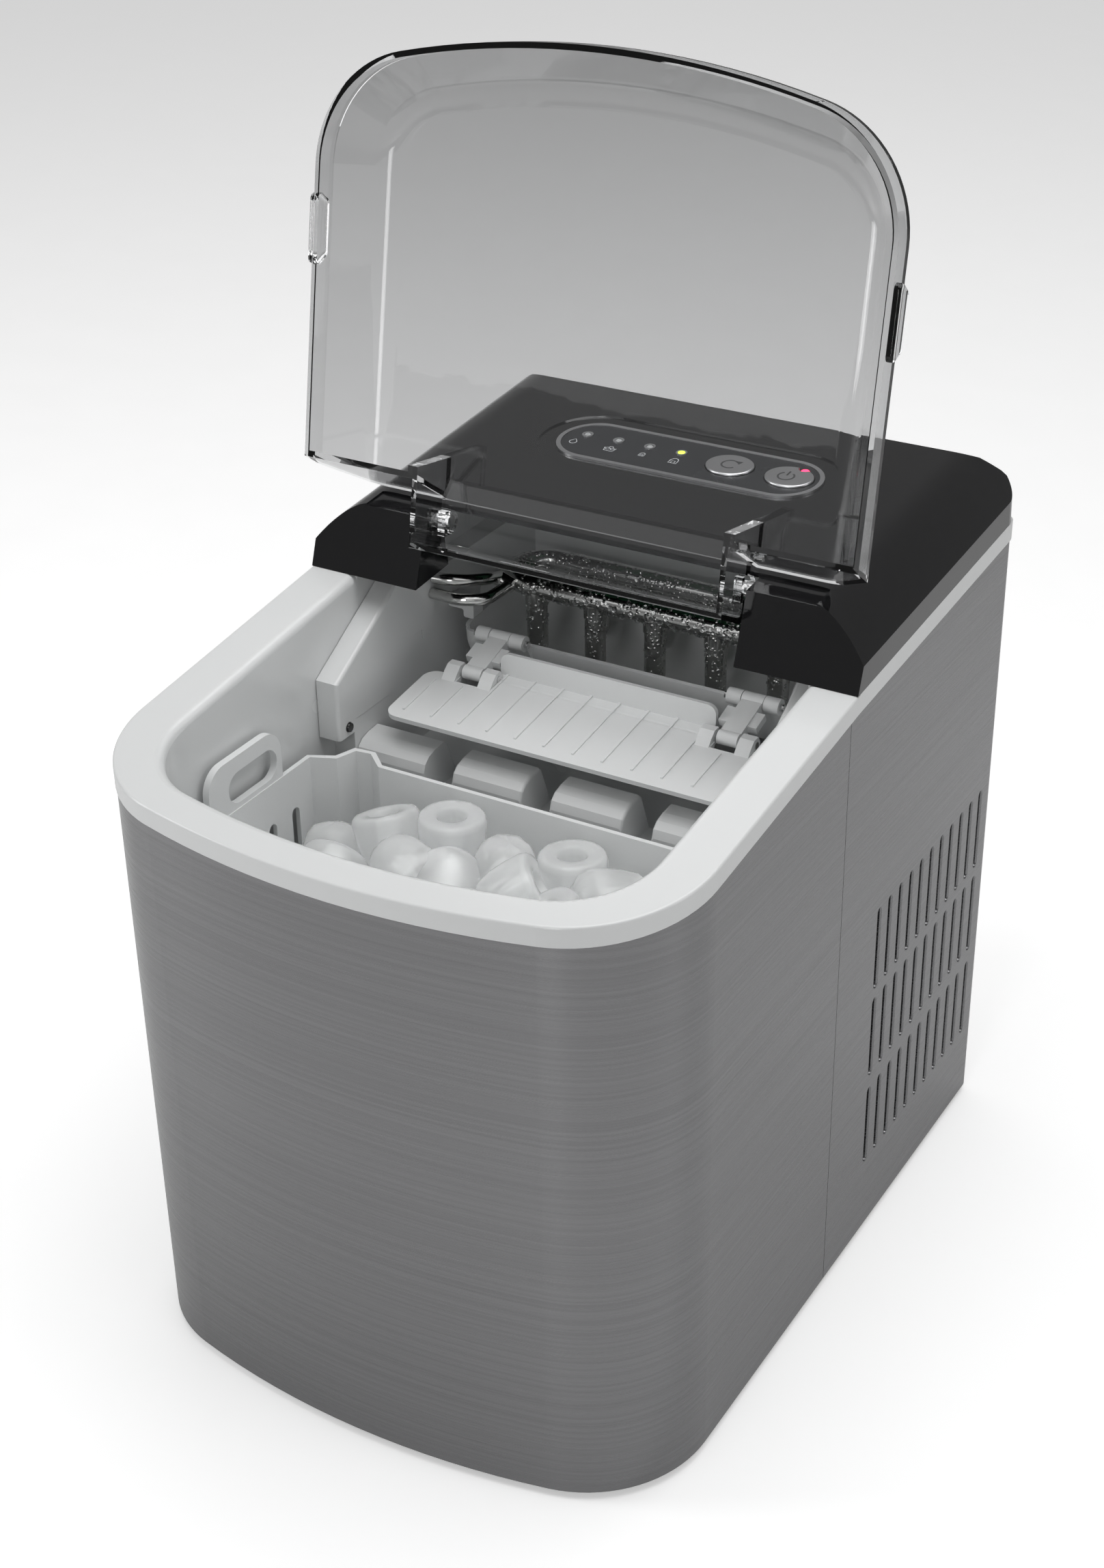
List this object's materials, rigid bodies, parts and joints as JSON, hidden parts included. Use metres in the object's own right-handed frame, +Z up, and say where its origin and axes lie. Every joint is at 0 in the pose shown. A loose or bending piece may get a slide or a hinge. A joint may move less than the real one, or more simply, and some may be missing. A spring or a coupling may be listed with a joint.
{
  "type": "countertop ice maker",
  "caption": "Countertop bullet-ice maker in brushed steel with a clear hinged lid, tilting freezing tray, ice shovel, lift-out basket and its cooling works.",
  "frame": {"origin": "middle of the footprint, on the surface that the feet stand on", "axes": "+X to the machine's right seen from the front, +Y to the back, +Z up; the curved front faces -Y"},
  "size_m": [0.2446, 0.33, 0.4886],
  "materials": {
    "painted_black": "black moulded plastic with a fine satin gloss",
    "rubber": "soft black rubber",
    "steel_skin": "fine level brushing",
    "screws": "bright plated steel",
    "white_gloss": "glossy white moulding",
    "white_satin": "satin white moulding",
    "foam": "white expanded foam",
    "eye": "dark infrared window",
    "silver_trim": "satin silver",
    "panel": "dark grey satin",
    "lens": "milky lens",
    "board": "green circuit board",
    "clear": "clear moulded plastic",
    "nickel": "bright nickel plating, frosted in use",
    "hose": "milky silicone",
    "shell_black": "black enamel",
    "fins": "plain mill finish",
    "copper": "drawn copper",
    "motor_grey": "grey plated can"
  },
  "bodies": {
    "cabinet": {"base_pan": "painted_black", "top_cover": "painted_black", "fan_shroud": "painted_black", "power_inlet": "painted_black", "water_pump": "painted_black", "foot_front_left": "rubber", "foot_front_right": "rubber", "foot_rear_left": "rubber", "foot_rear_right": "rubber", "compressor_mounts": "rubber", "front_wrap": "steel_skin", "side_panel_left": "steel_skin", "side_panel_right": "steel_skin", "back_panel": "steel_skin", "back_screws": "screws", "inner_liner": "white_gloss", "sensor_cover_left": "white_gloss", "sensor_cover_right": "white_gloss", "fill_nozzle": "white_gloss", "drain_spout": "white_gloss", "ice_guide": "white_satin", "foam_jacket": "foam", "sensor_eye_left": "eye", "sensor_eye_right": "eye", "panel_ring": "silver_trim", "light_rings": "silver_trim", "panel_plate": "panel", "status_lights": "lens", "making_light": "lens", "power_light": "lens", "control_board": "board", "power_board": "board", "evaporator_tube": "nickel", "freezing_fingers": "nickel", "hot_gas_lines": "nickel", "suction_hose": "hose", "fill_hose": "hose", "drain_hose": "hose", "compressor": "shell_black", "condenser_fins": "fins", "condenser_coil": "copper", "filter_drier": "copper", "tray_motor": "motor_grey", "fan_motor": "motor_grey", "gas_valve": "motor_grey"},
    "lid": {"lid": "clear", "lid_pins": "screws"},
    "select_button": {"select_button": "silver_trim"},
    "power_button": {"power_button": "silver_trim"},
    "tray": {"water_tray": "white_satin", "tray_shaft": "screws"},
    "links": {"link_left": "white_satin", "link_right": "white_satin", "link_pins": "screws"},
    "shovel": {"ice_shovel": "white_satin"},
    "basket": {"ice_basket": "white_satin"},
    "fan": {"fan_rotor": "painted_black"},
    "drain_cap": {"drain_cap": "painted_black"}
  },
  "joints": [
    {"name": "lid_hinge", "type": "hinge", "parent": "cabinet", "child": "lid", "pos_m": [0, 0.0225, 0.29996], "axis": [-1, 0, 0], "range_deg": [-106.5, 0]},
    {"name": "select_press", "type": "slide", "parent": "cabinet", "child": "select_button", "axis": [0, 0.0767, -0.9971], "range_m": [0, 0.0009], "stiffness_N_per_m": 400},
    {"name": "power_press", "type": "slide", "parent": "cabinet", "child": "power_button", "axis": [0, 0.0767, -0.9971], "range_m": [0, 0.0009], "stiffness_N_per_m": 400},
    {"name": "tray_tilt", "type": "hinge", "parent": "cabinet", "child": "tray", "pos_m": [0, 0.088, 0.238], "axis": [1, 0, 0], "range_deg": [0, 45]},
    {"name": "link_swing", "type": "hinge", "parent": "tray", "child": "links", "pos_m": [0, 0.0505, 0.2375], "axis": [1, 0, 0], "range_deg": [-90, 0]},
    {"name": "shovel_glide", "type": "hinge", "parent": "links", "child": "shovel", "pos_m": [0, 0.02851, 0.231], "axis": [1, 0, 0], "range_deg": [0, 45]},
    {"name": "basket_lift", "type": "slide", "parent": "cabinet", "child": "basket", "axis": [0, 0, 1], "range_m": [0, 0.12]},
    {"name": "fan_spin", "type": "hinge", "parent": "cabinet", "child": "fan", "pos_m": [0.073, 0.094, 0.105], "axis": [1, 0, 0], "continuous": true},
    {"name": "drain_pull", "type": "slide", "parent": "cabinet", "child": "drain_cap", "axis": [0, 1, 0], "range_m": [0, 0.02]}
  ],
  "couplings": [
    {"joint": "link_swing", "follows": "tray_tilt", "ratio": -2},
    {"joint": "shovel_glide", "follows": "tray_tilt", "ratio": 1}
  ]
}
